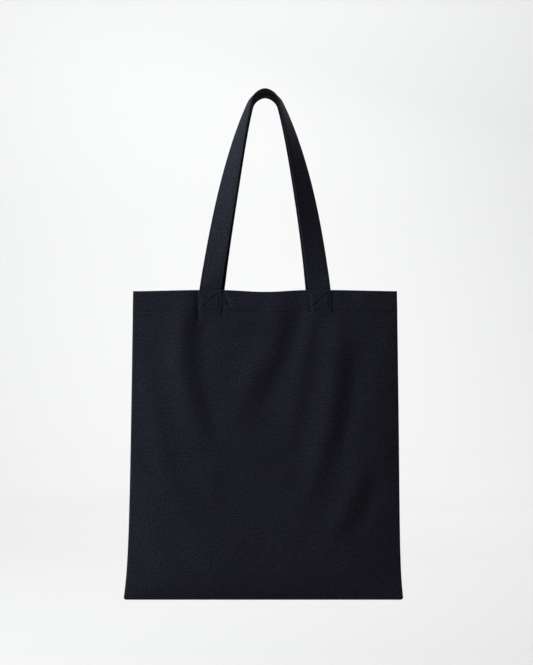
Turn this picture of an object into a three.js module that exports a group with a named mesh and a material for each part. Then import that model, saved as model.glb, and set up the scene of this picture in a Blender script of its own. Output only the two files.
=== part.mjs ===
// A canvas tote bag, empty, hanging by its two long handles.
// Millimetres. +Z is up, +X is to the right as seen from the front, and the front faces -Y.
// The origin is the point where the two handle loops rest on what they hang from.
import * as THREE from "three";

// Body, as two panels of canvas joined by side seams and a bottom seam.
const BAG_HEIGHT = 420;
const BOTTOM_HALF_WIDTH = 190;
const SEAM_LEAN = 6; // how far each side seam leans in between the bottom and the hem
const CORNER_FLARE = 5; // the extra half width at the bottom corners
const FLARE_REACH = 0.09; // the share of the height over which that flare dies away
const CANVAS = 0.9;
const LAYER_GAP = 0.3; // clearance between layers that touch
const SEAM_LAYERS = 3; // thickness of the turned-in seam allowances
const SEAM_WIDTH = 10;
const BELLY_SKEW = 0.8; // below 1 it puts the deepest part of the belly under mid height

// Hem, turned in twice at the top of each panel.
const HEM_DEPTH = 30;
const HEM_THICKNESS = 1.6;
const HEM_END_MARGIN = 14; // the hem's inner layers stop this far from the side edge
const HEM_STITCH_DROP = 28.5; // from the top edge down to the row of stitches

// Handles: a flat tape, sewn inside the hem, which turns a quarter on its way up.
const HANDLE_WIDTH = 30;
const HANDLE_THICKNESS = 2;
const HANDLE_DROP = 266; // from the top of the loop's inner face down to the hem's top edge
const SEWN_LENGTH = 28;
const PEG_RADIUS = 21; // what the loops are bent round at the top
const WRAP_ANGLE = THREE.MathUtils.degToRad(70); // to each side of the top
const LOOP_OFFSET = 17.5; // from the middle plane to the middle of each loop on the peg
const ARM_START_SLOPE = 0.15; // sideways run over rise, where an arm leaves the hem
const ARM_START_PULL = 84;
const ARM_END_PULL = 60;
const TWIST_POWER = 1.65; // above 1, most of the quarter turn happens near the top
const LEVEL_SHARE = 0.08; // the share of an arm over which its level lower end turns square to the arm

// Stitching, as flat bands of thread on the outer face.
const THREAD_WIDTH = 0.8;
const THREAD_THICKNESS = 0.4;
const BOX_WIDTH = 27;
const BOX_HEIGHT = 24;
const BOX_DROP = 2.5; // from the hem's top edge to the box of stitches

// Mesh steps.
const PANEL_COLUMNS = 24;
const PANEL_ROWS = 18;
const HEM_ROWS = 2;
const TAPE_COLUMNS = 3;
const HANDLE_STEPS = 64;

const TOP_Z = -HANDLE_DROP;
const BOTTOM_Z = TOP_Z - BAG_HEIGHT;
const EDGE_GAP = SEAM_LAYERS / 2 + LAYER_GAP;
const HEM_INNER_DEPTH = -(LAYER_GAP + HEM_THICKNESS);
const TAPE_OUTER_DEPTH = HEM_INNER_DEPTH - LAYER_GAP;
const TAPE_MIDDLE_DEPTH = TAPE_OUTER_DEPTH - HANDLE_THICKNESS / 2;

// facing is the way the side looks along Y; mouth and belly are how far it stands out, at the top edge and lower
// down; handleCentre is the distance of each handle's end from the middle of the bag.
const SIDES = {
  front: { facing: -1, mouth: 7, belly: 10, handleCentre: 74 },
  back: { facing: 1, mouth: 6, belly: 7, handleCentre: 70 },
};

const canvasCloth = () => new THREE.MeshStandardMaterial({ color: 0x1a1b23, roughness: 0.92, metalness: 0 });
const handleTape = () => new THREE.MeshStandardMaterial({ color: 0x21222b, roughness: 0.88, metalness: 0 });
const thread = () => new THREE.MeshStandardMaterial({ color: 0x15161c, roughness: 0.7, metalness: 0 });

function riseAt(z) {
  return (z - BOTTOM_Z) / BAG_HEIGHT;
}

function halfWidth(z) {
  const rise = riseAt(z);
  return BOTTOM_HALF_WIDTH - SEAM_LEAN * rise - CORNER_FLARE * (1 - Math.exp(-rise / FLARE_REACH));
}

// Distance from the bag's middle plane to the inner face of a side's panel.
function halfGap(side, x, z) {
  const rise = THREE.MathUtils.clamp(riseAt(z), 0, 1);
  const across = Math.max(0, 1 - (x / halfWidth(z)) ** 2);
  const standOut = side.mouth * Math.sin((Math.PI / 2) * rise);
  const belly = side.belly * Math.sin(Math.PI * rise ** BELLY_SKEW);
  return EDGE_GAP + across * (standOut + belly);
}

// The same shape with every triangle turned round, for a piece that its placing has mirrored.
function turnedRound(geometry) {
  const loose = geometry.index ? geometry.toNonIndexed() : geometry;
  const p = loose.attributes.position;
  const a = new THREE.Vector3();
  const b = new THREE.Vector3();
  for (let i = 0; i < p.count; i += 3) {
    a.fromBufferAttribute(p, i + 1);
    b.fromBufferAttribute(p, i + 2);
    p.setXYZ(i + 1, b.x, b.y, b.z);
    p.setXYZ(i + 2, a.x, a.y, a.z);
  }
  return loose;
}

// Lays a flat piece on a side of the bag: its Y becomes the distance outward from the panel's inner face.
function layOn(side, geometry) {
  const p = geometry.attributes.position;
  for (let i = 0; i < p.count; i++) {
    p.setY(i, side.facing * (halfGap(side, p.getX(i), p.getZ(i)) + p.getY(i)));
  }
  const laid = side.facing < 0 ? turnedRound(geometry) : geometry;
  laid.computeVertexNormals();
  return laid;
}

// A flat strip that fills the bag's width between its side edges, less a margin at each end.
function fullWidthStrip(margin, fromDepth, toDepth, fromZ, toZ, rows) {
  const strip = new THREE.BoxGeometry(2, toDepth - fromDepth, toZ - fromZ, PANEL_COLUMNS, 1, rows);
  strip.translate(0, (fromDepth + toDepth) / 2, (fromZ + toZ) / 2);
  const p = strip.attributes.position;
  for (let i = 0; i < p.count; i++) {
    const reach = Math.sin((Math.PI / 2) * p.getX(i));
    p.setX(i, reach * (halfWidth(p.getZ(i)) - margin));
  }
  return strip;
}

function panel(side) {
  return layOn(side, fullWidthStrip(0, 0, CANVAS, BOTTOM_Z, TOP_Z, PANEL_ROWS));
}

function hemFacing(side) {
  const from = TOP_Z - HEM_DEPTH;
  return layOn(side, fullWidthStrip(HEM_END_MARGIN, HEM_INNER_DEPTH, -LAYER_GAP, from, TOP_Z, HEM_ROWS));
}

function hemStitching(side) {
  const outer = CANVAS + LAYER_GAP;
  const z = TOP_Z - HEM_STITCH_DROP;
  const margin = SEAM_WIDTH / 2;
  return layOn(side, fullWidthStrip(margin, outer, outer + THREAD_THICKNESS, z - THREAD_WIDTH, z, 1));
}

// The seam allowances of both panels, lying between them along a side edge.
function sideSeam(end) {
  const from = BOTTOM_Z + SEAM_WIDTH + LAYER_GAP;
  const strip = new THREE.BoxGeometry(SEAM_WIDTH, SEAM_LAYERS, TOP_Z - from, 1, 1, PANEL_ROWS);
  strip.translate(0, 0, (from + TOP_Z) / 2);
  const p = strip.attributes.position;
  for (let i = 0; i < p.count; i++) {
    p.setX(i, end * (halfWidth(p.getZ(i)) - SEAM_WIDTH / 2) + p.getX(i));
  }
  strip.computeVertexNormals();
  return strip;
}

function bottomSeam() {
  const strip = new THREE.BoxGeometry(2, SEAM_LAYERS, SEAM_WIDTH, 2, 1, 2);
  strip.translate(0, 0, BOTTOM_Z + SEAM_WIDTH / 2);
  const p = strip.attributes.position;
  for (let i = 0; i < p.count; i++) {
    p.setX(i, p.getX(i) * halfWidth(p.getZ(i)));
  }
  strip.computeVertexNormals();
  return strip;
}

// The end of a handle, sewn flat to the inside of the hem.
function sewnEnd(side, end) {
  const tape = new THREE.BoxGeometry(HANDLE_WIDTH, HANDLE_THICKNESS, SEWN_LENGTH, TAPE_COLUMNS, 1, HEM_ROWS);
  tape.translate(end * side.handleCentre, TAPE_MIDDLE_DEPTH, TOP_Z - SEWN_LENGTH / 2);
  return layOn(side, tape);
}

// Where a loop's middle line runs on the +X side, from the hem at 0 to the top at 1, with its direction upward.
function loopMiddle(side) {
  const radius = PEG_RADIUS + HANDLE_THICKNESS / 2;
  const start = new THREE.Vector2(side.handleCentre, TOP_Z + LAYER_GAP);
  const end = new THREE.Vector2(Math.sin(WRAP_ANGLE), Math.cos(WRAP_ANGLE)).multiplyScalar(radius);
  end.y -= PEG_RADIUS;
  const endSlope = 1 / Math.tan(WRAP_ANGLE);
  const arm = new THREE.CubicBezierCurve(
    start,
    new THREE.Vector2(start.x - ARM_START_SLOPE * ARM_START_PULL, start.y + ARM_START_PULL),
    new THREE.Vector2(end.x + endSlope * ARM_END_PULL, end.y - ARM_END_PULL),
    end,
  );
  const armLength = arm.getLength();
  const length = armLength + radius * WRAP_ANGLE;
  return (share) => {
    const run = share * length;
    if (run <= armLength) {
      return { point: arm.getPointAt(run / armLength), way: arm.getTangentAt(run / armLength) };
    }
    const angle = WRAP_ANGLE - (run - armLength) / radius;
    const point = new THREE.Vector2(radius * Math.sin(angle), radius * Math.cos(angle) - PEG_RADIUS);
    return { point, way: new THREE.Vector2(-Math.cos(angle), Math.sin(angle)) };
  };
}

// A handle's free loop: up one arm, over the top and down the other. Each arm turns from facing as its side of the
// bag faces to facing outward, so that the tape lies flat on what it hangs from.
function handleLoop(side) {
  const middle = loopMiddle(side);
  const hemY = halfGap(side, side.handleCentre, TOP_Z) + TAPE_MIDDLE_DEPTH;
  const hemTurn = Math.atan((2 * side.mouth * side.handleCentre) / halfWidth(TOP_Z) ** 2);
  const tape = new THREE.BoxGeometry(HANDLE_WIDTH, HANDLE_THICKNESS, 2, 2, 1, HANDLE_STEPS);
  const p = tape.attributes.position;
  for (let i = 0; i < p.count; i++) {
    const [q, d, along] = [p.getX(i), p.getY(i), p.getZ(i)];
    const share = 1 - Math.abs(along);
    const { point, way } = middle(share);
    const turn = hemTurn + (Math.PI / 2 - hemTurn) * share ** TWIST_POWER;
    const outward = d * Math.sin(turn) - q * Math.cos(turn);
    const x = point.x + outward * way.y;
    const z = point.y - outward * way.x * Math.min(1, share / LEVEL_SHARE);
    const y = hemY + (LOOP_OFFSET - hemY) * share + q * Math.sin(turn) + d * Math.cos(turn);
    p.setXYZ(i, along < 0 ? -x : x, side.facing * y, z);
  }
  const loop = side.facing < 0 ? turnedRound(tape) : tape;
  loop.computeVertexNormals();
  return loop;
}

// A box of stitches with a cross in it, as one flat lattice of thread over a handle's sewn end.
function boxStitch(side, end) {
  const halfW = BOX_WIDTH / 2;
  const halfH = BOX_HEIGHT / 2;
  const corners = [[-halfW, -halfH], [halfW, -halfH], [halfW, halfH], [-halfW, halfH]];
  const outline = new THREE.Shape(corners.map(([x, z]) => new THREE.Vector2(x, z)));
  const innerW = halfW - THREAD_WIDTH;
  const innerH = halfH - THREAD_WIDTH;
  // Each window is a triangle between one side of the box and the cross.
  for (const [sx, sz, across] of [[0, -1, true], [1, 0, false], [0, 1, true], [-1, 0, false]]) {
    const windowPath = new THREE.Path();
    if (across) {
      windowPath.moveTo(-(innerW - THREAD_WIDTH), sz * innerH);
      windowPath.lineTo(innerW - THREAD_WIDTH, sz * innerH);
      windowPath.lineTo(0, sz * THREAD_WIDTH);
    } else {
      windowPath.moveTo(sx * innerW, -(innerH - THREAD_WIDTH));
      windowPath.lineTo(sx * innerW, innerH - THREAD_WIDTH);
      windowPath.lineTo(sx * THREAD_WIDTH, 0);
    }
    windowPath.closePath();
    outline.holes.push(windowPath);
  }
  const lattice = new THREE.ExtrudeGeometry(outline, { depth: THREAD_THICKNESS, bevelEnabled: false });
  lattice.rotateX(Math.PI / 2); // its thickness now runs along Y
  const outer = CANVAS + LAYER_GAP + THREAD_THICKNESS;
  lattice.translate(end * side.handleCentre, outer, TOP_Z - BOX_DROP - halfH);
  return layOn(side, lattice);
}

const bag = new THREE.Group();

function add(name, geometry, material) {
  const mesh = new THREE.Mesh(geometry, material);
  mesh.name = name;
  bag.add(mesh);
}

const ENDS = { left: -1, right: 1 };

for (const [sideName, side] of Object.entries(SIDES)) {
  add(`${sideName}_panel`, panel(side), canvasCloth());
  add(`${sideName}_hem_facing`, hemFacing(side), canvasCloth());
  add(`${sideName}_hem_stitching`, hemStitching(side), thread());
  add(`${sideName}_handle_loop`, handleLoop(side), handleTape());
  for (const [endName, end] of Object.entries(ENDS)) {
    add(`${sideName}_handle_${endName}_end`, sewnEnd(side, end), handleTape());
    add(`${sideName}_${endName}_box_stitch`, boxStitch(side, end), thread());
  }
}
for (const [endName, end] of Object.entries(ENDS)) {
  add(`${endName}_side_seam`, sideSeam(end), canvasCloth());
}
add("bottom_seam", bottomSeam(), canvasCloth());

export default bag;
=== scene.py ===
import math
import bpy
import numpy as np
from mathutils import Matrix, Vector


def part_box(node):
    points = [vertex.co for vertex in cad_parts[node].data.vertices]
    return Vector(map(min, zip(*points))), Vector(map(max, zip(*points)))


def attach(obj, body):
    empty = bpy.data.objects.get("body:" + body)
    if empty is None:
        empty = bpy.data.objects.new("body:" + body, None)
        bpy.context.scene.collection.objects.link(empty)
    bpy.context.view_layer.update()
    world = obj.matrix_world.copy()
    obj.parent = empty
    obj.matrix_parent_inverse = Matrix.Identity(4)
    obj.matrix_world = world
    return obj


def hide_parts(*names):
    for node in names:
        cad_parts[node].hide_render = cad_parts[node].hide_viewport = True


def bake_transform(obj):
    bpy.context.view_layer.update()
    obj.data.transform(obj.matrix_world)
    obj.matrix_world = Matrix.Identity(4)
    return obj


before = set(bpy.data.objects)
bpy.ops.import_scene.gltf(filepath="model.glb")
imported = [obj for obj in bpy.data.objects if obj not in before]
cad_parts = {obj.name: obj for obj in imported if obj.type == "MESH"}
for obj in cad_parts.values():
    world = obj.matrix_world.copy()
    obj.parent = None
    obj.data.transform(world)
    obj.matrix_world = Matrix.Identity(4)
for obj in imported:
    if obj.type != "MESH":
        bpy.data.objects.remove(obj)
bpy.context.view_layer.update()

MM = 0.001
RANDOM = np.random.default_rng(7)

# ---------------------------------------------------------------- the bag's sizes, from the frame
PANEL_LOW, PANEL_HIGH = (np.array(corner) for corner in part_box("front_panel"))
TOP = PANEL_HIGH[2]
BOTTOM = PANEL_LOW[2]
HEIGHT = TOP - BOTTOM
BOTTOM_HALF_WIDTH = PANEL_HIGH[0]
TAPE = 2 * MM                 # handle thickness
TAPE_WIDTH = 30 * MM
LOOP_TOP = np.array(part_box("front_handle_loop")[1])[2] - TAPE
PEG_RADIUS = 21 * MM          # of the peg that the loops hang over, which isn't made

# The cloth and how it is made up.
CLOTH = 0.8 * MM
SEAM_LEAN = 6 * MM            # how far each side seam leans in from the bottom to the top
CORNER_FLARE = 5 * MM         # how far the bottom corners stand out
FLARE_REACH = 0.09            # share of the height over which they do
CORNER_ROUND = 4 * MM
EDGE_ROLL = 3 * MM            # the seamed edges roll in over this distance
EDGE_HALF = 2.7 * MM          # half the bag's thickness just inside a seamed edge
EDGE_MEET = 0.1 * MM          # and right at it
BELLY_SKEW = 0.8              # under 1 puts the fullest place below the middle
BOW_POWER = 3.2               # how square the panels' bow is from seam to seam
LOW_SWELL = 12 * MM           # extra fullness just above the bottom seam
LOW_SWELL_REACH = 19 * MM
LOW_SWELL_FADE = 120 * MM     # height over which the fullness dies away again
LOW_BEAD = 0.7 * MM           # the turned seam shows as a low bead this far above the bottom edge
LOW_BEAD_RISE = 3.4 * MM
LOW_BEAD_HALF = 1.7 * MM      # half width of the bead
HEM_DEPTH = 30 * MM
HEM_ROLL = 1.4 * MM           # radius of the fold along the top edge
HEM_STITCH = 28.5 * MM        # from the top edge down to the hem's row of stitches
HEM_TURN = 0.55 * MM          # radius of the second turn, at the hem's lower edge
HEM_RAISE = 0.35 * MM         # how far the hem's layers lift the outer face
HEM_DRAWN = 0.75 * MM         # how deep a row of stitches draws the cloth in along the hem
BOX_DRAWN = 0.9 * MM          # and in the boxes over the handle ends
STITCH_DENT = 1.0 * MM        # half width of that dent
PATCH_RAISE = 0.8 * MM        # how far the handle's end lifts the cloth over it
SEWN_LENGTH = 28 * MM
TAPE_DEPTH = 4.1 * MM         # from the outer face in to the middle of a sewn handle end
BOX_WIDTH = 26 * MM
BOX_HEIGHT = 24 * MM
BOX_DROP = 2.2 * MM           # of the box stitch below the top edge
MIDDLE_SAG = 2.4 * MM         # of the top edge between the handles
CORNER_SAG = 1.4 * MM         # of the top edge at the side seams
SAG_HALF = 60 * MM            # half the width of the sag in the middle
SAG_OUTSIDE = 88 * MM         # where the sag towards the side seams begins
SAG_REACH = 90 * MM
SWAY = 2.2 * MM               # of the bottom edge to one side
RIPPLE = 0.5 * MM             # height of the puckers beside the seams

# The hanging simulation of a panel.
PATCH_EASE = 9 * MM           # the cloth goes from stiff to free over this distance around a sewn handle end
CLOTH_COLUMNS = 62
CLOTH_ROWS = 68
CLOTH_FRAMES = 20
CLOTH_MARGIN = 1 * MM         # the grid stops this short of the seams
CLOTH_STIFFNESS = 60
CLOTH_SHEAR = 20
CLOTH_BENDING = 1
CLOTH_MASS = 0.02
CLOTH_WEIGHT = 0.3            # share of gravity
RIDGE_EASE = 12 * MM          # folds die away over this distance from a seam
SEWING_EASE = 4 * MM          # and the marks of the sewing over this

SIDES = {
    "front": dict(facing=-1, mouth=7 * MM, belly=10 * MM, handle=74 * MM, start_slope=0.14),
    "back": dict(facing=1, mouth=6 * MM, belly=7 * MM, handle=70 * MM, start_slope=0.10),
}

# Soft ridges and, with a minus, valleys pressed into the cloth, in millimetres from the middle of the top
# edge: the points that one runs through, its half width and how far it stands out.
RIDGES = {
    "front": [
        ([(-108, -14), (-114, -90), (-101, -150), (-74, -220)], 16, 4.4),
        ([(-84, -34), (-86, -90), (-76, -150), (-52, -216)], 13, -2.2),
        ([(20, -10), (6, -75), (-20, -125), (-40, -190)], 19, 4.0),
        ([(50, -26), (34, -80), (10, -132), (-8, -186)], 12, -2.0),
        ([(54, -64), (50, -110), (38, -170), (26, -225)], 13, 1.8),
        ([(96, -60), (93, -120), (84, -180), (70, -240), (52, -300)], 18, 5.0),
        ([(124, -90), (118, -140), (108, -190), (92, -250)], 13, -2.0),
        ([(128, -245), (111, -292), (84, -338)], 16, 3.2),
        ([(148, -262), (134, -306), (110, -346)], 12, -1.4),
        ([(-152, -150), (-140, -220), (-120, -290)], 15, 1.8),
        ([(-78, -235), (-58, -300)], 14, 1.2),
        ([(150, -205), (176, -228)], 11, 1.4),
        ([(-46, -44), (24, -46)], 9, 1.0),
        ([(-150, -330), (-128, -380)], 18, 1.2),
        ([(20, -330), (50, -385)], 22, 1.0),
    ],
    "back": [
        ([(-98, -18), (-92, -90), (-66, -160), (-48, -220)], 18, 4.0),
        ([(50, -18), (36, -90), (2, -150), (-14, -200)], 18, 3.6),
        ([(72, -60), (60, -120), (34, -190)], 12, -1.6),
        ([(98, -20), (108, -100), (98, -200)], 18, 4.0),
        ([(-140, -190), (-126, -270), (-96, -350)], 19, 2.6),
        ([(118, -240), (94, -310), (62, -360)], 18, 2.4),
        ([(-44, -46), (40, -44)], 9, 0.9),
    ],
}

# Short creases beside the stiff sewn patches, in the same millimetres: start, end, half width and depth.
CREASES = {
    "front": [
        ((-91, -3), (-90.5, -40), 3.0, 1.5),
        ((-56, -3), (-48.5, -20), 2.8, 1.5),
        ((-56.5, -22), (-57, -32), 2.4, 1.0),
        ((58, -6), (60.5, -28), 2.8, 1.1),
        ((91.5, -3), (92.5, -28), 4.0, 0.8),
        ((178, -28), (166, -34), 3.0, 0.9),
    ],
    "back": [
        ((-87, -4), (-88, -34), 3.0, 1.0),
        ((-54, -4), (-50, -26), 2.6, 0.9),
        ((54, -4), (51, -30), 2.8, 0.9),
        ((87, -3), (90, -36), 3.0, 1.0),
    ],
}


# ---------------------------------------------------------------- camera
CAMERA_LENS = 67.85
CAMERA_PLACE = (2 * MM, -1.7, TOP - 57.5 * MM)


def make_camera():
    data = bpy.data.cameras.new("camera")
    data.lens = CAMERA_LENS
    data.sensor_width = 36
    data.dof.use_dof = False
    camera = bpy.data.objects.new("camera", data)
    bpy.context.scene.collection.objects.link(camera)
    camera.location = CAMERA_PLACE
    camera.rotation_euler = (math.pi / 2, 0, 0)
    bpy.context.scene.camera = camera


make_camera()


# ---------------------------------------------------------------- shape of the bag
def smooth(t):
    t = np.clip(t, 0, 1)
    return t * t * (3 - 2 * t)


def half_width(z):
    rise = (z - BOTTOM) / HEIGHT
    wide = BOTTOM_HALF_WIDTH - SEAM_LEAN * rise - CORNER_FLARE * (1 - np.exp(-rise / FLARE_REACH))
    low = np.clip((CORNER_ROUND - (z - BOTTOM)) / CORNER_ROUND, 0, 1)
    return wide - CORNER_ROUND * (1 - np.sqrt(1 - low**2))


def rolled(distance):
    """0 at a seamed edge, rising round a quarter circle to 1 where the roll ends."""
    left = np.clip((EDGE_ROLL - distance) / EDGE_ROLL, 0, 1)
    return np.sqrt(1 - left**2)


def top_edge(x):
    """Height of the top edge, which sags a little between the handles and beyond them."""
    far = np.abs(x)
    between = np.cos(np.clip(far / SAG_HALF, 0, 1) * math.pi / 2) ** 2
    outside = smooth((far - SAG_OUTSIDE) / SAG_REACH)
    return TOP - MIDDLE_SAG * between - CORNER_SAG * outside


def base_stand(side, x, z):
    """Distance from the middle plane to the outer face, before folds and sewing."""
    rise = np.clip((z - BOTTOM) / HEIGHT, 0, 1)
    across = 1 - np.clip(np.abs(x) / half_width(z), 0, 1) ** BOW_POWER
    bowed = side["mouth"] * np.sin(math.pi / 2 * rise)
    bowed = bowed + side["belly"] * np.sin(math.pi * rise**BELLY_SKEW)
    height = np.clip(z - BOTTOM, 0, None)
    swell = (1 - np.exp(-height / LOW_SWELL_REACH)) * np.exp(-((height / LOW_SWELL_FADE) ** 2))
    bowed = bowed + LOW_SWELL * swell
    bowed = bowed + LOW_BEAD * np.exp(-(((z - BOTTOM - LOW_BEAD_RISE) / LOW_BEAD_HALF) ** 2))
    edge = rolled(half_width(z) - np.abs(x)) * rolled(z - BOTTOM)
    return EDGE_MEET + (EDGE_HALF - EDGE_MEET) * edge + across * bowed


def route_distance(x, z, route):
    """Distance to a route of straight stretches, and how far along it the nearest point lies, from 0 to 1."""
    runs = np.diff(route, axis=0)
    lengths = np.hypot(*runs.T)
    begun = np.concatenate([[0], np.cumsum(lengths)])
    nearest, place = np.full(np.broadcast(x, z).shape, np.inf), 0.0
    for start, run, length, before in zip(route, runs, lengths, begun):
        share = np.clip(((x - start[0]) * run[0] + (z - start[1]) * run[1]) / length**2, 0, 1)
        gap = np.hypot(x - start[0] - share * run[0], z - start[1] - share * run[1])
        place = np.where(gap < nearest, (before + share * length) / begun[-1], place)
        nearest = np.minimum(nearest, gap)
    return nearest, place


def curved(points):
    """A smooth route through a few points (Catmull-Rom)."""
    p = np.array([points[0], *points, points[-1]], float)
    t = np.linspace(0, 1, 9)[:-1, None]
    parts = []
    for a, b, c, d in zip(p, p[1:], p[2:], p[3:]):
        parts.append(b + 0.5 * t * (c - a + t * (2 * a - 5 * b + 4 * c - d + t * (3 * (b - c) + d - a))))
    return np.vstack([*parts, p[-1:]])


def pressed_ridges(name, x, z):
    height = np.zeros(np.broadcast(x, z).shape)
    for points, half, tall in RIDGES[name]:
        gap, place = route_distance(x / MM, (z - TOP) / MM, curved(points))
        fade = smooth(place / 0.2 + 0.45) * smooth((1 - place) / 0.45 + 0.12)
        height = height + tall * MM * fade * np.exp(-((gap / half) ** 2))
    return height


def line_distance(x, z, start, end):
    run = np.subtract(end, start)
    along = np.clip(((x - start[0]) * run[0] + (z - start[1]) * run[1]) / (run @ run), 0, 1)
    return np.hypot(x - start[0] - along * run[0], z - start[1] - along * run[1])


def box_lines(side, end):
    """The six straight rows of the box stitch over one handle end: four sides and the cross."""
    middle = end * side["handle"]
    left, right = middle - BOX_WIDTH / 2, middle + BOX_WIDTH / 2
    high, low = TOP - BOX_DROP, TOP - BOX_DROP - BOX_HEIGHT
    corners = [(left, low), (right, low), (right, high), (left, high)]
    sides = [(corners[i], corners[(i + 1) % 4]) for i in range(4)]
    return sides + [(corners[0], corners[2]), (corners[1], corners[3])]


def beside_handles(side, x, z):
    """0 on the stiff patches where the handle ends are sewn, rising to 1 a little away from them."""
    free = 1.0
    for end in (-1, 1):
        gap_x = np.clip(np.abs(x - end * side["handle"]) - BOX_WIDTH / 2, 0, None)
        gap_z = np.clip(TOP - SEWN_LENGTH - z, 0, None)
        free = free * smooth(np.hypot(gap_x, gap_z) / PATCH_EASE)
    return free


def cloth_places(share, rise):
    """Places on a panel from shares of its half width and of its height."""
    z = BOTTOM + CLOTH_MARGIN + rise * (HEIGHT - 2 * CLOTH_MARGIN)
    x = share * (half_width(z) - CLOTH_MARGIN)
    return x, z


def cloth_shares(x, z):
    """Where a place on a panel lies on the grid, in columns and rows."""
    u = (np.clip(x / (half_width(z) - CLOTH_MARGIN), -1, 1) + 1) / 2 * (CLOTH_COLUMNS - 1)
    v = np.clip((z - BOTTOM - CLOTH_MARGIN) / (HEIGHT - 2 * CLOTH_MARGIN), 0, 1) * (CLOTH_ROWS - 1)
    return u, v


def settled_relief(name):
    """Let one panel hang: a cloth simulation of the panel with its ridges pressed in, held along its seams
    and where the handles are sewn. Gives the relief of the settled cloth on a grid of shares and rises."""
    side = SIDES[name]
    share = np.linspace(-1, 1, CLOTH_COLUMNS)[:, None]
    rise = np.linspace(0, 1, CLOTH_ROWS)[None, :]
    x, z = np.broadcast_arrays(*cloth_places(share, rise))
    base = base_stand(side, x, z)
    eased = smooth((half_width(z) - np.abs(x)) / RIDGE_EASE)
    start = base + pressed_ridges(name, x, z) * beside_handles(side, x, z) * eased
    points = np.stack([x, side["facing"] * start, z], -1)
    sheet = grid_piece("hanging_cloth", points, np.stack([x, z], -1))
    count = len(sheet.data.vertices)
    places = np.empty(count * 3)
    sheet.data.vertices.foreach_get("co", places)
    px, _, pz = places.reshape(-1, 3).T
    held = (half_width(pz) - np.abs(px) < 3 * MM) | (pz < BOTTOM + 4 * MM)
    held |= (np.abs(np.abs(px) - side["handle"]) < BOX_WIDTH / 2) & (pz > TOP - SEWN_LENGTH)
    group = sheet.vertex_groups.new(name="held")
    group.add(np.nonzero(held)[0].tolist(), 1.0, "REPLACE")
    cloth = sheet.modifiers.new("cloth", "CLOTH")
    settings = cloth.settings
    settings.quality = 6
    settings.mass = CLOTH_MASS
    settings.air_damping = 2
    settings.tension_stiffness = CLOTH_STIFFNESS
    settings.compression_stiffness = CLOTH_STIFFNESS
    settings.shear_stiffness = CLOTH_SHEAR
    settings.bending_stiffness = CLOTH_BENDING
    settings.vertex_group_mass = "held"
    settings.effector_weights.gravity = CLOTH_WEIGHT
    cloth.point_cache.frame_start = 1
    cloth.point_cache.frame_end = CLOTH_FRAMES
    for moment in range(1, CLOTH_FRAMES + 1):
        bpy.context.scene.frame_set(moment)
    settled = sheet.evaluated_get(bpy.context.evaluated_depsgraph_get()).data
    settled.vertices.foreach_get("co", places)
    u, v = cloth_shares(px, pz)
    column, row = np.rint(u).astype(int), np.rint(v).astype(int)
    relief = np.zeros((CLOTH_COLUMNS, CLOTH_ROWS))
    relief[column, row] = side["facing"] * places.reshape(-1, 3)[:, 1]
    bpy.data.meshes.remove(sheet.data)
    bpy.context.scene.frame_set(1)
    return np.maximum(relief - base, -0.6 * base)


RELIEFS = {}


def relief_at(name, x, z):
    """Smooth (cubic B-spline) value of a panel's settled relief."""
    if name not in RELIEFS:
        RELIEFS[name] = settled_relief(name)
    grid = RELIEFS[name]
    u, v = np.broadcast_arrays(*cloth_shares(x, z))
    left, low = np.floor(u).astype(int), np.floor(v).astype(int)

    def weights(t):
        return [
            (1 - t) ** 3 / 6,
            (3 * t**3 - 6 * t**2 + 4) / 6,
            (-3 * t**3 + 3 * t**2 + 3 * t + 1) / 6,
            t**3 / 6,
        ]

    value = 0.0
    for i, across in enumerate(weights(u - left)):
        for j, up in enumerate(weights(v - low)):
            column = np.clip(left + i - 1, 0, CLOTH_COLUMNS - 1)
            row = np.clip(low + j - 1, 0, CLOTH_ROWS - 1)
            value = value + across * up * grid[column, row]
    return value * beside_handles(SIDES[name], x, z)


def sewing_relief(name, x, z):
    """How the outer face is lifted by the layers behind it and drawn in by the stitches."""
    side = SIDES[name]
    drop = top_edge(x) - z
    relief = HEM_RAISE * smooth((HEM_DEPTH + 1 * MM - drop) / (2 * MM))
    relief = relief - HEM_DRAWN * np.exp(-(((drop - HEM_STITCH) / STITCH_DENT) ** 2))
    for end in (-1, 1):
        beside = np.abs(x - end * side["handle"])
        over = smooth((TAPE_WIDTH / 2 + 1 * MM - beside) / (2 * MM))
        above = smooth((SEWN_LENGTH + 1 * MM - drop) / (2 * MM))
        relief = relief + PATCH_RAISE * (over * above)
        drawn = 0.0
        for start, stop in box_lines(side, end):
            drawn = np.maximum(drawn, np.exp(-((line_distance(x, z, start, stop) / STITCH_DENT) ** 2)))
        relief = relief - BOX_DRAWN * drawn
    for start, stop, half, depth in CREASES[name]:
        gap = line_distance(x / MM, (z - TOP) / MM, start, stop)
        relief = relief - depth * MM * np.exp(-((gap / half) ** 2))
    return relief


def sway(z):
    """How far the bag hangs to the left, growing towards its bottom edge."""
    return -SWAY * (1 - np.clip((z - BOTTOM) / HEIGHT, 0, 1)) ** 3


def seam_pucker(x, z):
    """Small ripples that the side and bottom seams draw into the cloth next to them."""
    beside = half_width(z) - np.abs(x)
    above = z - BOTTOM
    side_ripple = np.sin(z / (3.1 * MM)) * np.sin(z / (8.7 * MM) + 1) * np.exp(-beside / (7 * MM))
    low_ripple = np.sin(x / (3.6 * MM)) * np.sin(x / (9.9 * MM) + 2) * np.exp(-above / (7 * MM))
    inside = smooth(beside / (5 * MM)) * smooth(above / (5 * MM))
    return RIPPLE * (side_ripple + low_ripple) * inside


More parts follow.
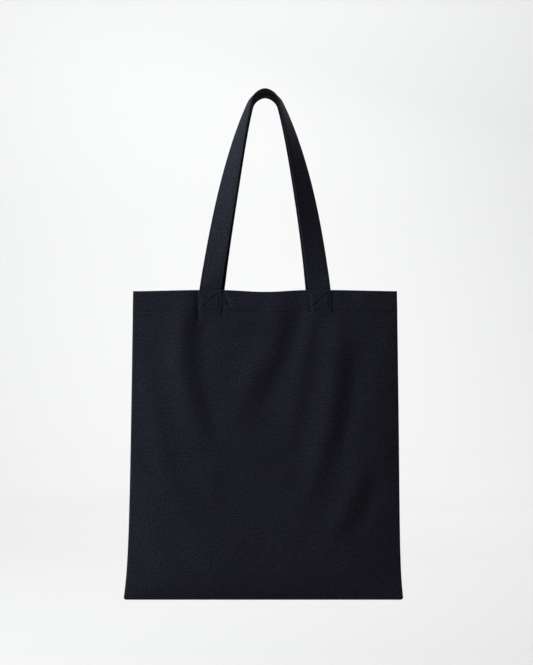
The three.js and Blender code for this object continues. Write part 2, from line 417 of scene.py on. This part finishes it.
def outer_face(name, x, z):
    """Points of one side's outer face."""
    side = SIDES[name]
    away = np.minimum(half_width(z) - np.abs(x), z - BOTTOM)
    inside = smooth(away / RIDGE_EASE)
    stand = base_stand(side, x, z) + inside * relief_at(name, x, z)
    stand = stand + smooth(away / SEWING_EASE) * sewing_relief(name, x, z) + seam_pucker(x, z)
    return np.stack([x + sway(z), side["facing"] * stand, z], -1)


def outward(name, x, z):
    """Unit normals of the outer face, by small steps."""
    step = 0.5 * MM
    z = np.minimum(z, TOP - 2 * HEM_ROLL)
    z = np.maximum(z, BOTTOM + step)
    limit = half_width(z) - 2 * step
    x = np.clip(x, -limit, limit)
    side = SIDES[name]

    def plain(px, pz):
        stand = base_stand(side, px, pz) + relief_at(name, px, pz)
        return np.stack([px, side["facing"] * stand, pz], -1)

    across = plain(x + step, z) - plain(x - step, z)
    up = plain(x, z + step) - plain(x, z - step)
    normal = np.cross(across, up) * -side["facing"]
    return normal / np.linalg.norm(normal, axis=-1, keepdims=True)


def at_depth(name, x, z, depth):
    """Points that lie a given depth inside a side's outer face."""
    return outer_face(name, x, z) - outward(name, x, z) * np.asarray(depth)[..., None]


# ---------------------------------------------------------------- mesh helpers
def stepped(start, *stretches):
    """Rising positions from start: each stretch is (end, step)."""
    places = [np.array([start])]
    for end, step in stretches:
        count = max(1, round((end - places[-1][-1]) / step))
        places.append(np.linspace(places[-1][-1], end, count + 1)[1:])
    return np.concatenate(places)


def distances_along(line):
    """Distance from the first point of a line to each of its points."""
    return np.concatenate([[0], np.cumsum(np.linalg.norm(np.diff(line, axis=0), axis=1))])


def select_only(obj):
    bpy.ops.object.select_all(action="DESELECT")
    obj.select_set(True)
    bpy.context.view_layer.objects.active = obj


def apply_modifiers(obj):
    select_only(obj)
    for modifier in list(obj.modifiers):
        bpy.ops.object.modifier_apply(modifier=modifier.name)


def grid_piece(name, points, cloth_uv):
    """A grid primitive with points[column, row] as its vertices and cloth_uv[column, row] in metres."""
    columns, rows = points.shape[:2]
    bpy.ops.object.select_all(action="DESELECT")
    bpy.ops.mesh.primitive_grid_add(x_subdivisions=columns - 1, y_subdivisions=rows - 1, size=2)
    obj = bpy.context.object
    obj.name = name
    obj.data.name = name
    places = np.empty(len(obj.data.vertices) * 3)
    obj.data.vertices.foreach_get("co", places)
    places = places.reshape(-1, 3)
    column = np.rint((places[:, 0] + 1) / 2 * (columns - 1)).astype(int)
    row = np.rint((places[:, 1] + 1) / 2 * (rows - 1)).astype(int)
    obj.data.vertices.foreach_set("co", points[column, row].ravel())
    corner = np.empty(len(obj.data.loops), int)
    obj.data.loops.foreach_get("vertex_index", corner)
    obj.data.uv_layers.active.data.foreach_set("uv", cloth_uv[column[corner], row[corner]].ravel())
    obj.data.update()
    return obj


def finish_piece(obj, material, angle=40):
    obj.data.materials.clear()
    obj.data.materials.append(material)
    select_only(obj)
    bpy.ops.object.shade_smooth_by_angle(angle=math.radians(angle))
    apply_modifiers(obj)
    return obj


def turn_faces(obj):
    select_only(obj)
    bpy.ops.object.mode_set(mode="EDIT")
    bpy.ops.mesh.select_all(action="SELECT")
    bpy.ops.mesh.flip_normals()
    bpy.ops.object.mode_set(mode="OBJECT")


def thicken(obj, thickness, offset):
    solid = obj.modifiers.new("thickness", "SOLIDIFY")
    solid.thickness = thickness
    solid.offset = offset
    solid.use_even_offset = False
    solid.use_quality_normals = True
    apply_modifiers(obj)


# ---------------------------------------------------------------- materials
def node_material(name):
    material = bpy.data.materials.new(name)
    material.use_nodes = True
    return material, material.node_tree, material.node_tree.nodes["Principled BSDF"]


def add_node(tree, kind, settings=None, **inputs):
    node = tree.nodes.new(kind)
    for key, value in (settings or {}).items():
        setattr(node, key, value)
    for key, value in inputs.items():
        socket = node.inputs[int(key[1:])] if key[0] == "i" and key[1:].isdigit() else node.inputs[key]
        if isinstance(value, bpy.types.NodeSocket):
            tree.links.new(value, socket)
        else:
            socket.default_value = value
    return node


def maths(tree, operation, a, b=0.0):
    return add_node(tree, "ShaderNodeMath", dict(operation=operation), i0=a, i1=b).outputs[0]


def cloth_material(name, colour, pitch, roughness, sheen):
    """Plain-woven cotton, with its pattern in metres of cloth: yarns that cross over and under each other at
    the given pitch, thick and thin places along them, uneven dye, pale flecks, painted shade in the hollows
    between the yarns, and a slight fuzz."""
    material, tree, shader = node_material(name)
    uv = tree.nodes.new("ShaderNodeUVMap").outputs["UV"]

    def noise(scale, stretch=(1, 1, 1), detail=2.0, rough=0.55):
        place = add_node(tree, "ShaderNodeMapping", Vector=uv, Scale=stretch).outputs[0]
        return add_node(tree, "ShaderNodeTexNoise", Vector=place, Scale=scale, Detail=detail,
                        Roughness=rough).outputs["Fac"]

    def spread(value, low, high):
        """A noise value widened to run from low to high."""
        wide = add_node(tree, "ShaderNodeMapRange", Value=value)
        for socket, number in (("From Min", 0.32), ("From Max", 0.68), ("To Min", low), ("To Max", high)):
            wide.inputs[socket].default_value = number
        return wide.outputs["Result"]

    wander = maths(tree, "MULTIPLY", noise(70.0), 2.2 * pitch)
    apart = add_node(tree, "ShaderNodeSeparateXYZ", Vector=uv)
    turn = math.pi / pitch
    weft = maths(tree, "SINE", maths(tree, "MULTIPLY", maths(tree, "ADD", apart.outputs["X"], wander), turn))
    warp = maths(tree, "SINE", maths(tree, "MULTIPLY", maths(tree, "ADD", apart.outputs["Y"], wander), turn))
    crossing = maths(tree, "MULTIPLY", weft, warp)
    yarn = maths(tree, "MAXIMUM", maths(tree, "ABSOLUTE", weft), maths(tree, "ABSOLUTE", warp))
    weave = maths(tree, "ADD", maths(tree, "MULTIPLY", crossing, 0.5), yarn)

    slubs = maths(tree, "MULTIPLY", spread(noise(110.0, (0.6, 11, 1)), 0.8, 1.2),
                  spread(noise(110.0, (11, 0.6, 1)), 0.8, 1.2))
    flecks = maths(tree, "MULTIPLY", spread(noise(450.0, (1.2, 1, 1)), 0.1, 2.0),
                   spread(noise(950.0, (1, 1.2, 1)), 0.4, 1.6))
    dye = spread(noise(11.0, detail=3.0), 0.9, 1.1)
    # Darker colour in the hollows between the yarns and lighter on their tops: painted shade.
    hollow_shade = add_node(tree, "ShaderNodeMapRange", Value=weave)
    hollow_shade.inputs["To Min"].default_value = 0.8
    hollow_shade.inputs["To Max"].default_value = 1.15
    shade = maths(tree, "MULTIPLY", maths(tree, "MULTIPLY", slubs, flecks), dye)
    shade = maths(tree, "MULTIPLY", shade, hollow_shade.outputs["Result"])
    tint = add_node(tree, "ShaderNodeVectorMath", dict(operation="SCALE"), i0=colour, Scale=shade)
    tree.links.new(tint.outputs["Vector"], shader.inputs["Base Color"])
    tree.links.new(spread(flecks, roughness - 0.05, roughness + 0.05), shader.inputs["Roughness"])

    relief = maths(tree, "ADD", maths(tree, "MULTIPLY", weave, 0.7), maths(tree, "MULTIPLY", slubs, 1.1))
    relief = maths(tree, "ADD", relief, maths(tree, "MULTIPLY", flecks, 0.8))
    soft = add_node(tree, "ShaderNodeBump", Height=noise(30.0, detail=3.0), Strength=0.5, Distance=1.5 * MM)
    fine = add_node(tree, "ShaderNodeBump", Height=relief, Strength=0.8, Distance=0.15 * MM)
    tree.links.new(soft.outputs["Normal"], fine.inputs["Normal"])
    tree.links.new(fine.outputs["Normal"], shader.inputs["Normal"])
    shader.inputs["Specular IOR Level"].default_value = 0.08
    shader.inputs["Sheen Weight"].default_value = sheen
    shader.inputs["Sheen Roughness"].default_value = 0.6
    shader.inputs["Sheen Tint"].default_value = (0.55, 0.58, 0.72, 1)
    return material


def thread_material():
    """Sewing thread: a dark yarn with a fine uneven grain and a little less matt than the cloth."""
    material, tree, shader = node_material("sewing_thread")
    place = add_node(tree, "ShaderNodeTexCoord").outputs["Object"]
    twist = add_node(tree, "ShaderNodeTexNoise", Vector=place, Scale=1800.0, Detail=2.0).outputs["Fac"]
    tint = add_node(tree, "ShaderNodeValToRGB", Fac=twist)
    tint.color_ramp.elements[0].color = (0.0012, 0.0013, 0.0024, 1)
    tint.color_ramp.elements[1].color = (0.0060, 0.0063, 0.0100, 1)
    tree.links.new(tint.outputs["Color"], shader.inputs["Base Color"])
    bump = add_node(tree, "ShaderNodeBump", Height=twist, Strength=0.5, Distance=0.1 * MM)
    tree.links.new(bump.outputs["Normal"], shader.inputs["Normal"])
    shader.inputs["Roughness"].default_value = 0.75
    shader.inputs["Specular IOR Level"].default_value = 0.12
    return material


CANVAS = cloth_material("navy_black_canvas", (0.0049, 0.0051, 0.0085), 0.75 * MM, 0.9, 0.02)
HANDLE_CLOTH = cloth_material("handle_canvas", (0.0062, 0.0065, 0.0105), 0.65 * MM, 0.88, 0.03)
# A much darker copy of the handle cloth for the tapes' inner faces: painted shade, standing in for the shade
# on the insides of the loops.
HANDLE_INNER_PAINTED_SHADE = cloth_material("handle_inner_painted_shade", (0.0022, 0.0023, 0.0038), 0.65 * MM, 0.95, 0.0)
THREAD = thread_material()


# ---------------------------------------------------------------- panels with their turned-in hems
def hem_rows():
    """Rows of a panel from its bottom edge up, over the top fold and down the inside, as columns of numbers:
    share of the way up the outer face, angle round the fold, distance down the inside, and depth lost to the
    second turn."""
    climb = stepped(0, (7 * MM, 0.6 * MM), (HEIGHT - 33 * MM, 3.4 * MM), (HEIGHT - HEM_ROLL, 0.75 * MM))
    rows = [(c / climb[-1], 0, 0, 0) for c in climb]
    rows += [(1, angle, 0, 0) for angle in np.linspace(0, math.pi, 9)[1:]]
    down = stepped(0, (HEM_DEPTH - HEM_ROLL, 2.2 * MM))[1:]
    rows += [(1, math.pi, d, 0) for d in down]
    for bend in np.linspace(0, math.pi, 5)[1:]:
        rows += [(1, math.pi, down[-1] + HEM_TURN * math.sin(bend), HEM_TURN * (1 - math.cos(bend)))]
    rows += [(1, math.pi, down[-1] - 3 * MM, 2 * HEM_TURN)]
    return np.array(rows)


def panel_points(name, shares):
    """points[column, row] of a panel's outer face, for columns at shares of the half width."""
    rows = hem_rows()
    climb, angle, down, lost = (column[None, :] for column in rows.T)
    across = shares[:, None]
    x = across * BOTTOM_HALF_WIDTH * np.ones_like(climb)
    for _ in range(4):  # the width depends on the height and the height on the top edge above
        stand = base_stand(SIDES[name], x, np.full_like(x, TOP - HEM_ROLL))
        roll = np.clip((stand - 0.1 * MM) / 2, 0.45 * MM, HEM_ROLL)
        top = top_edge(x)
        z = BOTTOM + climb * (top - roll - BOTTOM) + roll * np.sin(angle) - down
        x = across * half_width(z)
    depth = roll * (1 - np.cos(angle)) - lost
    points = at_depth(name, x, z, depth)
    length = distances_along(points[len(shares) // 2])
    uv = np.stack([across * BOTTOM_HALF_WIDTH * np.ones_like(z), length[None, :] * np.ones_like(z)], -1)
    return points, uv


def share_columns():
    """Shares of the half width for the columns from the middle to the right-hand edge, finer over the handle
    ends."""
    edge = BOTTOM_HALF_WIDTH
    places = stepped(0, (44 * MM, 3.4 * MM), (97 * MM, 0.8 * MM), (edge - 5 * MM, 3.4 * MM), (edge, 0.6 * MM))
    return places / edge


def make_panel(piece, name, shares):
    points, uv = panel_points(name, shares)
    obj = grid_piece(piece, points, uv)
    if SIDES[name]["facing"] > 0:
        turn_faces(obj)
    thicken(obj, CLOTH, -1)
    return finish_piece(obj, CANVAS, 60)


ALLOWANCE = 10 * MM


def hold_to_side(piece):
    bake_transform(piece)


RIGHT = share_columns()
LEFT = -RIGHT[::-1]

back_panel = make_panel("back_panel_cloth", "back", np.concatenate([LEFT, RIGHT[1:]]))
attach(back_panel, "bag_back")
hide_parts("back_panel", "back_hem_facing")

for half_name, end, shares in (("left", -1, LEFT), ("right", 1, RIGHT)):
    half = make_panel(f"front_panel_cloth_{half_name}", "front", shares)
    hold_to_side(half)
    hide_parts("front_panel", "front_hem_facing")


# ---------------------------------------------------------------- handles
WRAP_ANGLE = math.radians(70)
LOOP_OFFSET = 17.5 * MM
START_PULL = 84 * MM          # how far each end's direction carries into an arm's curve
END_PULL = 60 * MM
TWIST_POWER = 1.65            # how late along the arm it twists a quarter turn
EARLY_TWIST = math.radians(9)
HEM_PINCH = 0.45              # share of the tape's thickness lost in the crease just above the hem
EDGE_ROW = 12.3 * MM          # from the tape's middle to each row of edge stitches
EDGE_CORNER = 1.3 * MM        # how far the tape's edges round off
LEVEL_SHARE = 0.08            # share of the arm over which its width turns from level to square with its line
LOOP_SWAY = 1.2 * MM          # how far the loops hang to the right, halfway up
LOOP_RADIUS = PEG_RADIUS + TAPE / 2


def loop_line(side):
    """Dense points of a loop's middle line on the +X side, from the hem to the top, with their distances."""
    start = np.array([side["handle"], TOP])
    end = np.array([math.sin(WRAP_ANGLE), math.cos(WRAP_ANGLE)]) * LOOP_RADIUS - [0, PEG_RADIUS - LOOP_TOP]
    first = start + np.array([-side["start_slope"], 1]) * START_PULL
    last = end - np.array([-1 / math.tan(WRAP_ANGLE), 1]) * END_PULL
    t = np.linspace(0, 1, 400)[:, None]
    arm = start * (1 - t) ** 3 + 3 * first * t * (1 - t) ** 2 + 3 * last * t**2 * (1 - t) + end * t**3
    angle = np.linspace(WRAP_ANGLE, 0, 120)[1:, None]
    arc = np.hstack([np.sin(angle), np.cos(angle)]) * LOOP_RADIUS - [0, PEG_RADIUS - LOOP_TOP]
    line = np.vstack([arm, arc])
    way = np.gradient(line, axis=0)
    way /= np.linalg.norm(way, axis=1, keepdims=True)
    return line, way, distances_along(line)


def tape_points(name, distance, q, d):
    """Points on a handle: distance along it from the hem of its left end (negative below it), q across it
    towards its inner edge, d out of its outer face."""
    side = SIDES[name]
    line, way, steps = loop_line(side)
    length = steps[-1]
    end = np.where(distance < length, -1.0, 1.0)
    run = np.where(distance < length, distance, 2 * length - distance)
    free = np.clip(run, 0, length)
    share = free / length
    px, pz = (np.interp(free, steps, line[:, k]) for k in (0, 1))
    wx, wz = (np.interp(free, steps, way[:, k]) for k in (0, 1))
    bow = BOW_POWER * side["mouth"] * side["handle"] ** (BOW_POWER - 1)
    hem_turn = math.atan(bow / float(half_width(TOP)) ** BOW_POWER)
    eased = EARLY_TWIST * smooth(share / 0.12)
    turn = hem_turn + eased + (math.pi / 2 - hem_turn - eased) * share**TWIST_POWER
    level = np.clip(share / LEVEL_SHARE, 0, 1)
    d = d * (1 - HEM_PINCH * np.exp(-(((run - 1.6 * MM) / (1.1 * MM)) ** 2)))
    out = d * np.sin(turn) - q * np.cos(turn)
    hem_y = base_stand(side, np.array(side["handle"]), np.array(TOP)) - TAPE_DEPTH
    y = hem_y + (LOOP_OFFSET - hem_y) * share + q * np.sin(turn) + d * np.cos(turn)
    loop_x = end * (px + out * wz) + LOOP_SWAY * np.sin(math.pi * share)
    loop = np.stack([loop_x, side["facing"] * y, pz - out * wx * level], -1)
    z = TOP + np.minimum(run, 0)
    x = end * (side["handle"] - q)
    sewn_y = base_stand(side, x, z) - TAPE_DEPTH + d
    sewn = np.stack([x, side["facing"] * sewn_y, z], -1)
    return np.where((run < 0)[..., None], sewn, loop)


def tape_section():
    """The tape's cross-section as (q, d): flat faces with a shallow groove under each row of stitches."""
    half, thick = TAPE_WIDTH / 2, TAPE / 2
    corner = EDGE_CORNER
    face = stepped(-half + corner, (-13.0 * MM, 0.4 * MM), (-11.4 * MM, 0.4 * MM), (11.4 * MM, 3.8 * MM),
                   (13.0 * MM, 0.4 * MM), (half - corner, 0.4 * MM))
    groove = 0.22 * MM * np.exp(-(((np.abs(face) - EDGE_ROW) / (0.45 * MM)) ** 2))
    arc = np.linspace(0, math.pi, 7)[1:-1]
    right = np.stack([half - corner + corner * np.sin(arc), thick * np.cos(arc)], -1)
    over = np.stack([face, thick - groove], -1)
    return np.vstack([over, right, -over, -right])


def closed_sweep(name, rings, uv_across, uv_along):
    """A closed tube through rings[step, point], capped at both ends, with UVs in metres."""
    steps, count = rings.shape[:2]
    index = np.arange(steps * count).reshape(steps, count)
    after = np.roll(index, -1, axis=1)
    quads = np.stack([index[:-1], after[:-1], after[1:], index[1:]], -1).reshape(-1, 4).tolist()
    caps = [index[0][::-1].tolist(), index[-1].tolist()]
    mesh = bpy.data.meshes.new(name)
    mesh.from_pydata(rings.reshape(-1, 3).tolist(), [], quads + caps)
    layer = mesh.uv_layers.new(name="cloth")
    corners = np.empty(len(mesh.loops), int)
    mesh.loops.foreach_get("vertex_index", corners)
    step, point = corners // count, corners % count
    layer.data.foreach_set("uv", np.stack([uv_across[point], uv_along[step]], -1).ravel())
    mesh.update()
    obj = bpy.data.objects.new(name, mesh)
    bpy.context.scene.collection.objects.link(obj)
    return obj


def make_handle(name):
    side = SIDES[name]
    half = loop_line(side)[2][-1]
    whole = 2 * half
    along = stepped(-SEWN_LENGTH, (0, 2 * MM), (5 * MM, 0.5 * MM), (20 * MM, 1.5 * MM),
                    (whole - 20 * MM, 3 * MM), (whole - 5 * MM, 1.5 * MM), (whole, 0.5 * MM),
                    (whole + SEWN_LENGTH, 2 * MM))
    section = tape_section()
    distance = np.broadcast_to(along[:, None], (len(along), len(section)))
    rings = tape_points(name, distance, section[None, :, 0], section[None, :, 1])
    around = distances_along(section)
    obj = closed_sweep(f"{name}_handle_tape", rings, around, along)
    if side["facing"] > 0:
        turn_faces(obj)
    finish_piece(obj, HANDLE_CLOTH, 50)
    # The tape's inner face and the rounded edge beside it take the darker copy: painted shade.
    obj.data.materials.append(HANDLE_INNER_PAINTED_SHADE)
    inner = np.arange(len(obj.data.polygons)) % len(section) >= len(section) // 2
    inner[-2:] = False
    obj.data.polygons.foreach_set("material_index", inner.astype(np.int32))
    return obj, whole


def fold_at_hem(piece):
    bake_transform(piece)


# ---------------------------------------------------------------- stitches
def stitch_shape():
    """One stitch of thread lying along X, as vertices and faces."""
    bpy.ops.object.select_all(action="DESELECT")
    bpy.ops.mesh.primitive_uv_sphere_add(segments=8, ring_count=6, radius=1, rotation=(0, math.pi / 2, 0))
    obj = bpy.context.object
    bpy.ops.object.transform_apply(location=False, rotation=True, scale=False)
    vertices = np.array([v.co for v in obj.data.vertices])
    faces = [list(p.vertices) for p in obj.data.polygons]
    bpy.data.meshes.remove(obj.data)
    return vertices, faces


STITCH_VERTICES, STITCH_FACES = stitch_shape()
STITCH_PITCH = 3.1 * MM
STITCH_LENGTH = 2.5 * MM
STITCH_WIDTH = 0.75 * MM
STITCH_HEIGHT = 0.42 * MM


def row_of_stitches(line, normals):
    """Placed stitch vertices along a dense line of points."""
    steps = distances_along(line)
    count = max(1, int(round(steps[-1] / STITCH_PITCH)))
    middle = (np.arange(count) + 0.5) * steps[-1] / count

    def at(distance, values):
        return np.stack([np.interp(distance, steps, values[:, k]) for k in range(3)], -1)

    centre = at(middle, line)
    way = at(middle + STITCH_LENGTH / 2, line) - at(middle - STITCH_LENGTH / 2, line)
    normal = at(middle, normals)
    way = way / np.linalg.norm(way, axis=1, keepdims=True)
    beside = np.cross(normal, way)
    beside /= np.linalg.norm(beside, axis=1, keepdims=True)
    lean = RANDOM.normal(0, 0.05, (count, 1))
    way, beside = way + beside * lean, beside - way * lean
    normal = np.cross(way, beside)
    shape = STITCH_VERTICES * np.array([STITCH_LENGTH, STITCH_WIDTH, STITCH_HEIGHT]) / 2
    frames = np.stack([way, beside, normal], 1)
    return centre[:, None, :] + np.einsum("vk,nkc->nvc", shape, frames)


def stitching(name, rows):
    vertices = np.concatenate([row.reshape(-1, 3) for row in rows])
    size = len(STITCH_VERTICES)
    copies = len(vertices) // size
    faces = [[corner + copy * size for corner in face] for copy in range(copies) for face in STITCH_FACES]
    mesh = bpy.data.meshes.new(name)
    mesh.from_pydata(vertices.tolist(), [], faces)
    mesh.update()
    obj = bpy.data.objects.new(name, mesh)
    bpy.context.scene.collection.objects.link(obj)
    return finish_piece(obj, THREAD, 80)


def sewn_line(name, start, end, depth, inside=False):
    """A straight row of stitches on a side of the bag, from (x, z) to (x, z), on its outer or inner face."""
    t = np.linspace(0, 1, max(2, int(math.dist(start, end) / (1 * MM))))
    x = start[0] + (end[0] - start[0]) * t
    z = start[1] + (end[1] - start[1]) * t
    normal = outward(name, x, z)
    line = outer_face(name, x, z) - normal * depth
    return row_of_stitches(line, -normal if inside else normal)


def hem_line(name, x0, x1, inside):
    x = np.linspace(x0, x1, 240)
    z = top_edge(x) - HEM_STITCH
    normal = outward(name, x, z)
    depth = 2 * HEM_ROLL + HEM_RAISE - 0.2 * MM if inside else 0.02 * MM
    return row_of_stitches(outer_face(name, x, z) - normal * depth, -normal if inside else normal)


HEM_ROW_END = float(half_width(TOP - HEM_STITCH)) - 4 * MM
rows = [hem_line("back", -HEM_ROW_END, HEM_ROW_END, inside) for inside in (False, True)]
hem_back = stitching("back_hem_thread", rows)
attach(hem_back, "bag_back")
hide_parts("back_hem_stitching")
for half_name, end in (("left", -1), ("right", 1)):
    rows = [hem_line("front", end * 1.5 * MM, end * HEM_ROW_END, inside) for inside in (False, True)]
    hem_front = stitching(f"front_hem_thread_{half_name}", rows)
    hold_to_side(hem_front)
    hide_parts("front_hem_stitching")

for name, side in SIDES.items():
    for end_name, end in (("left", -1), ("right", 1)):
        rows = [sewn_line(name, *line, 0.02 * MM) for line in box_lines(side, end)]
        rows += [sewn_line(name, *line, TAPE_DEPTH + TAPE / 2, inside=True) for line in box_lines(side, end)]
        box = stitching(f"{name}_{end_name}_box_thread", rows)
        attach(box, f"bag_{name}")
        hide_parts(f"{name}_{end_name}_box_stitch")


def edge_rows(name, whole):
    """Rows of stitches along both edges of a handle's free length, on both faces."""
    along = np.linspace(1.5 * MM, whole - 1.5 * MM, 900)
    rows = []
    for q in (-EDGE_ROW, EDGE_ROW):
        for face in (-1, 1):
            line = tape_points(name, along, q, face * (TAPE / 2 - 0.12 * MM))
            above = tape_points(name, along, q, face * TAPE)
            normal = above - line
            rows.append(row_of_stitches(line, normal / np.linalg.norm(normal, axis=1, keepdims=True)))
    return rows


for name in SIDES:
    tape, whole = make_handle(name)
    fold_at_hem(tape)
    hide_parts(f"{name}_handle_loop", f"{name}_handle_left_end", f"{name}_handle_right_end")
    edges = stitching(f"{name}_handle_thread", edge_rows(name, whole))
    fold_at_hem(edges)


# ---------------------------------------------------------------- seam allowances inside the bag
def side_allowance(end_name, end):
    """Both panels' allowances, turned in together along a side seam, with a slightly wavy free edge."""
    z = stepped(BOTTOM + 12 * MM, (TOP - HEM_DEPTH - 2 * MM, 3 * MM))
    q = np.linspace(0, 1, 6)
    reach, height = np.meshgrid(q, z, indexing="ij")
    wave = np.sin(height / (11 * MM)) * 0.4 * MM + np.sin(height / (4.3 * MM) + 1) * 0.2 * MM
    x = end * (half_width(height) - 1.4 * MM - reach * (ALLOWANCE + wave))
    y = reach**2 * wave
    points = np.stack([x + sway(height), y, height], -1)
    uv = np.stack([reach * ALLOWANCE, height], -1)
    obj = grid_piece(f"{end_name}_seam_allowance", points, uv)
    thicken(obj, 2 * CLOTH, 0)
    return finish_piece(obj, CANVAS, 50)


for end_name, end in (("left", -1), ("right", 1)):
    allowance = side_allowance(end_name, end)
    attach(allowance, "bag_back")
    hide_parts(f"{end_name}_side_seam")

floor_x = stepped(-BOTTOM_HALF_WIDTH + 4 * MM, (BOTTOM_HALF_WIDTH - 4 * MM, 4 * MM))
floor_q = np.linspace(0, 1, 6)
fx, fq = np.meshgrid(floor_x, floor_q, indexing="ij")
low_wave = np.sin(fx / (13 * MM)) * 0.4 * MM
low_points = np.stack([fx + sway(BOTTOM), fq**2 * low_wave, BOTTOM + 1.4 * MM + fq * ALLOWANCE], -1)
bottom_allowance = grid_piece("bottom_seam_allowance", low_points, np.stack([fx, fq * ALLOWANCE], -1))
thicken(bottom_allowance, 2 * CLOTH, 0)
finish_piece(bottom_allowance, CANVAS, 50)
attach(bottom_allowance, "bag_back")
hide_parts("bottom_seam")


# ---------------------------------------------------------------- stage and light
FLOOR = BOTTOM - 0.3
FLOOR_FRONT = -9.0
FLOOR_BACK = 3.0              # where the floor begins to curve up
STAGE_BEND = 1.2              # radius of that curve
STAGE_HALF_WIDTH = 16.0
WALL_HEIGHT = 6

# Colour of the stage along its depth plus height, with painted shade that makes it darker where more light
# falls: the near floor first, then the curve, then the wall.
STAGE_NEAR = -0.2
STAGE_FAR = 5.6
STAGE_PAINTED_SHADE_TONES = ((-0.09, 0.447), (0.5, 0.488), (1.09, 0.535), (1.47, 0.586), (1.93, 0.659), (2.31, 0.677),
               (2.76, 0.682), (3.46, 0.708), (4.5, 0.756), (5.38, 0.826))


def stage_material():
    """Matt studio paper, painted a little greyer on the floor in front, where more light falls: painted shade
    that evens out how bright the stage looks.
    """
    material, tree, shader = node_material("pale_stage")
    place = add_node(tree, "ShaderNodeTexCoord").outputs["Object"]
    reach = add_node(tree, "ShaderNodeVectorMath", {"operation": "DOT_PRODUCT"}, i0=place)
    reach.inputs[1].default_value = (0, 1, 1)
    share = add_node(tree, "ShaderNodeMapRange", Value=reach.outputs["Value"])
    share.inputs["From Min"].default_value = STAGE_NEAR
    share.inputs["From Max"].default_value = STAGE_FAR
    tint = add_node(tree, "ShaderNodeValToRGB", Fac=share.outputs["Result"])
    stops = tint.color_ramp.elements
    for index, (along, tone) in enumerate(STAGE_PAINTED_SHADE_TONES):
        place_on_ramp = (along - STAGE_NEAR) / (STAGE_FAR - STAGE_NEAR)
        stop = stops[index] if index < 2 else stops.new(place_on_ramp)
        stop.position = place_on_ramp
        stop.color = (tone, tone * 0.994, tone * 0.992, 1)
    tree.links.new(tint.outputs["Color"], shader.inputs["Base Color"])
    shader.inputs["Roughness"].default_value = 0.9
    shader.inputs["Specular IOR Level"].default_value = 0.1
    return material


def make_stage():
    """A pale floor that curves up into a backdrop well behind the bag."""
    curve = np.linspace(0, math.pi / 2, 16)
    bend = STAGE_BEND
    profile = [(FLOOR_FRONT, FLOOR), (FLOOR_BACK, FLOOR)]
    profile += [(FLOOR_BACK + bend * math.sin(a), FLOOR + bend * (1 - math.cos(a))) for a in curve[1:]]
    profile += [(FLOOR_BACK + bend, FLOOR + WALL_HEIGHT)]
    profile = np.array(profile)
    across = np.array([-STAGE_HALF_WIDTH, STAGE_HALF_WIDTH])
    points = np.stack([np.broadcast_to(across[:, None], (2, len(profile))),
                       np.broadcast_to(profile[None, :, 0], (2, len(profile))),
                       np.broadcast_to(profile[None, :, 1], (2, len(profile)))], -1)
    sweep = grid_piece("studio_sweep", points, points[..., :2])
    sweep.data.materials.append(stage_material())
    select_only(sweep)
    bpy.ops.object.shade_smooth()


def area_light(name, place, aim, size, power, colour):
    data = bpy.data.lights.new(name, "AREA")
    data.shape = "DISK"
    data.size = size
    data.energy = power
    data.color = colour
    light = bpy.data.objects.new(name, data)
    bpy.context.scene.collection.objects.link(light)
    light.location = place
    way = np.subtract(aim, place)
    tilt = math.atan2(math.hypot(way[0], way[1]), -way[2])
    light.rotation_euler = (tilt, 0, math.atan2(way[1], way[0]) - math.pi / 2)


make_stage()
MIDDLE = (0, 0, (TOP + BOTTOM) / 2)
area_light("key", (-2.45, -1.15, 1.25), MIDDLE, 0.8, 200, (0.97, 1.0, 1.0))
area_light("fill", (1.8, -2.4, 0.3), MIDDLE, 1.6, 9, (0.95, 0.97, 1.0))
area_light("behind", (0.9, 2.3, 2.3), MIDDLE, 1.4, 62, (1.0, 1.0, 1.0))
area_light("backdrop", (0, 0.3, 2.2), (0, 4.2, -0.5), 2.0, 62, (1.0, 1.0, 1.0))

world = bpy.data.worlds.new("studio")
bpy.context.scene.world = world
world.use_nodes = True
world.node_tree.nodes["Background"].inputs["Color"].default_value = (0.93, 0.94, 0.95, 1)
world.node_tree.nodes["Background"].inputs["Strength"].default_value = 0.36
bpy.context.scene.view_settings.view_transform = "Standard"

bpy.context.view_layer.update()
